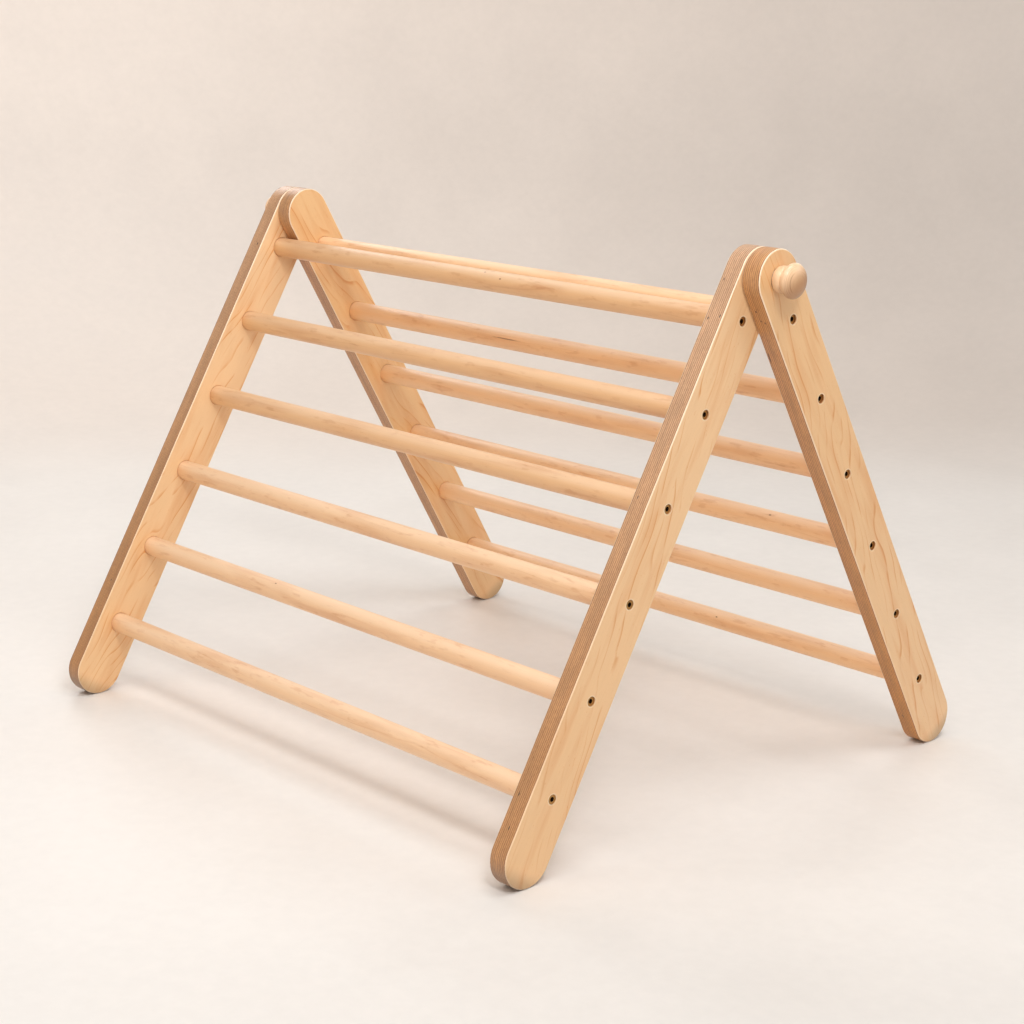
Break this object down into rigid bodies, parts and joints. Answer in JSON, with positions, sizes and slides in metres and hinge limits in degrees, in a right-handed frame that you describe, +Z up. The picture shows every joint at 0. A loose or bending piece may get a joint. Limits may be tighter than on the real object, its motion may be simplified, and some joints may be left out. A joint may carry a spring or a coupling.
{
  "type": "folding climbing triangle",
  "caption": "Wooden folding climbing triangle for toddlers: ladder frames of plywood stringers and round rungs that pivot and clamp at the top with turned wooden knobs.",
  "frame": {"origin": "on the floor, midway between the four feet and midway along the rungs", "axes": "+X along the rungs and the pivot, from the left stringers to the right ones; +Y towards the rear frame's feet; +Z up"},
  "size_m": [1.0192, 0.8156, 0.7095],
  "materials": {
    "stringer_ply": "clear satin lacquer on birch plywood",
    "rung_beech": "clear satin lacquer on turned hardwood",
    "knob_beech": "clear satin lacquer on turned hardwood",
    "screw_brass_zinc": "yellow passivated",
    "zinc_steel": "bright zinc plated"
  },
  "bodies": {
    "front_frame": {"front_left_stringer": "stringer_ply", "front_right_stringer": "stringer_ply", "front_rung_1": "rung_beech", "front_rung_2": "rung_beech", "front_rung_3": "rung_beech", "front_rung_4": "rung_beech", "front_rung_5": "rung_beech", "front_rung_6": "rung_beech", "front_left_screws": "screw_brass_zinc", "front_right_screws": "screw_brass_zinc", "right_insert": "zinc_steel", "right_spacer_washer": "zinc_steel"},
    "rear_frame": {"rear_left_stringer": "stringer_ply", "rear_right_stringer": "stringer_ply", "rear_rung_1": "rung_beech", "rear_rung_2": "rung_beech", "rear_rung_3": "rung_beech", "rear_rung_4": "rung_beech", "rear_rung_5": "rung_beech", "rear_rung_6": "rung_beech", "rear_left_screws": "screw_brass_zinc", "rear_right_screws": "screw_brass_zinc", "left_insert": "zinc_steel", "left_spacer_washer": "zinc_steel"},
    "right_knob_slider": {"right_knob_washer": "zinc_steel"},
    "right_knob_turner": {"right_knob": "knob_beech", "right_stud": "zinc_steel"},
    "left_knob_slider": {"left_knob_washer": "zinc_steel"},
    "left_knob_turner": {"left_knob": "knob_beech", "left_stud": "zinc_steel"}
  },
  "joints": [
    {"name": "fold", "type": "hinge", "parent": "front_frame", "child": "rear_frame", "pos_m": [0, 0, 0.67351], "axis": [1, 0, 0], "range_deg": [-2, 119.5]},
    {"name": "right_knob_travel", "type": "slide", "parent": "front_frame", "child": "right_knob_slider", "axis": [1, 0, 0], "range_m": [0, 0.0188]},
    {"name": "right_knob_turn", "type": "hinge", "parent": "right_knob_slider", "child": "right_knob_turner", "pos_m": [0.47865, 0, 0.67351], "axis": [1, 0, 0], "range_deg": [0, 5400]},
    {"name": "left_knob_travel", "type": "slide", "parent": "rear_frame", "child": "left_knob_slider", "axis": [-1, 0, 0], "range_m": [0, 0.0188]},
    {"name": "left_knob_turn", "type": "hinge", "parent": "left_knob_slider", "child": "left_knob_turner", "pos_m": [-0.47865, 0, 0.67351], "axis": [-1, 0, 0], "range_deg": [0, 5400]}
  ],
  "couplings": [
    {"joint": "right_knob_travel", "follows": "right_knob_turn", "m_per_rad": 0.00019894},
    {"joint": "left_knob_travel", "follows": "left_knob_turn", "m_per_rad": 0.00019894}
  ]
}
